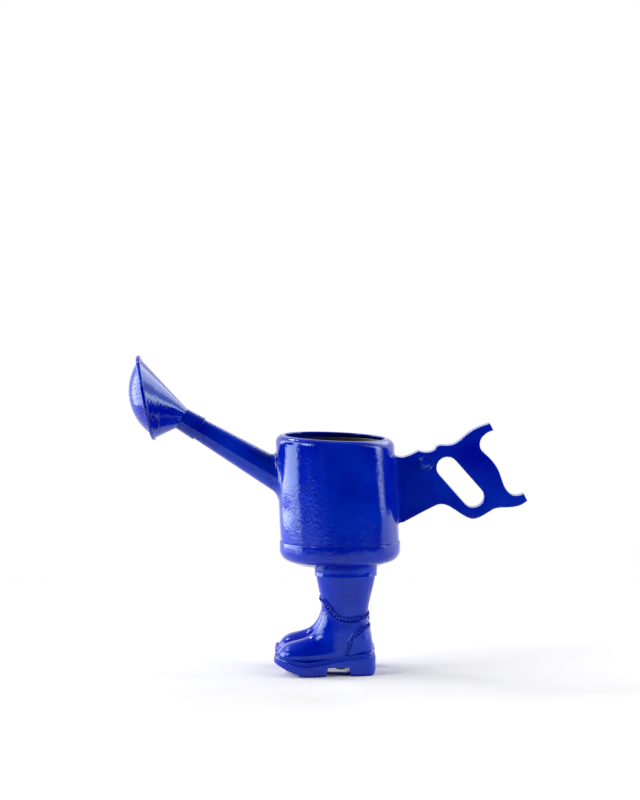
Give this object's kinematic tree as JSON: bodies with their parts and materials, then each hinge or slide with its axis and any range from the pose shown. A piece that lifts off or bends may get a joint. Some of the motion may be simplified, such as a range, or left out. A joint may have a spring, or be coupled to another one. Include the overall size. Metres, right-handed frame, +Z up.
{
  "type": "watering can",
  "caption": "Watering can with a lift-out liner, standing on wellington boots, with a slanted spout, a turning perforated rose and a slotted saw-shaped handle.",
  "frame": {"origin": "middle of the footprint, on the ground under the boots' soles", "axes": "-X the way the rose and the toes point, +X towards the saw handle, +Z up, boots to either side of the XZ plane"},
  "size_m": [0.5982, 0.1816, 0.4749],
  "materials": {
    "blue_lacquer": "glossy ultramarine lacquer over a fine cast texture",
    "liner_plastic": "matt black moulded",
    "seal_rubber": "matt",
    "zinc_steel": "satin zinc plated"
  },
  "bodies": {
    "can": {"base_pan": "blue_lacquer", "can_drum": "blue_lacquer", "handle_saddle": "blue_lacquer", "handle_screw_1": "zinc_steel", "handle_screw_2": "zinc_steel", "handle_washer_1": "zinc_steel", "handle_washer_2": "zinc_steel", "left_ankle_strap": "blue_lacquer", "left_boot_hem": "blue_lacquer", "left_boot_upper": "blue_lacquer", "left_boot_welt": "blue_lacquer", "left_heel_strap": "blue_lacquer", "left_outsole": "blue_lacquer", "left_tie_bolt": "zinc_steel", "left_tie_nut": "zinc_steel", "left_tie_washer": "zinc_steel", "liner_rest": "seal_rubber", "right_ankle_strap": "blue_lacquer", "right_boot_hem": "blue_lacquer", "right_boot_upper": "blue_lacquer", "right_boot_welt": "blue_lacquer", "right_heel_strap": "blue_lacquer", "right_outsole": "blue_lacquer", "right_tie_bolt": "zinc_steel", "right_tie_nut": "zinc_steel", "right_tie_washer": "zinc_steel", "saw_handle": "blue_lacquer", "saw_nut": "blue_lacquer", "saw_screw": "blue_lacquer", "spout_saddle": "blue_lacquer", "spout_tube": "blue_lacquer"},
    "liner": {"liner_pot": "liner_plastic"},
    "ferrule": {"rose_ferrule": "blue_lacquer", "rose_seal": "seal_rubber"},
    "rose": {"rose_cone": "blue_lacquer", "rose_plate": "blue_lacquer", "rose_rim": "blue_lacquer"}
  },
  "joints": [
    {"name": "liner_lift", "type": "slide", "parent": "can", "child": "liner", "axis": [0, 0, 1], "range_m": [0, 0.18]},
    {"name": "rose_pull", "type": "slide", "parent": "can", "child": "ferrule", "axis": [-0.8607, 0, 0.509], "range_m": [0, 0.04]},
    {"name": "rose_turn", "type": "hinge", "parent": "ferrule", "child": "rose", "pos_m": [-0.21984, 0, 0.3798], "axis": [-0.8607, 0, 0.509], "continuous": true}
  ]
}
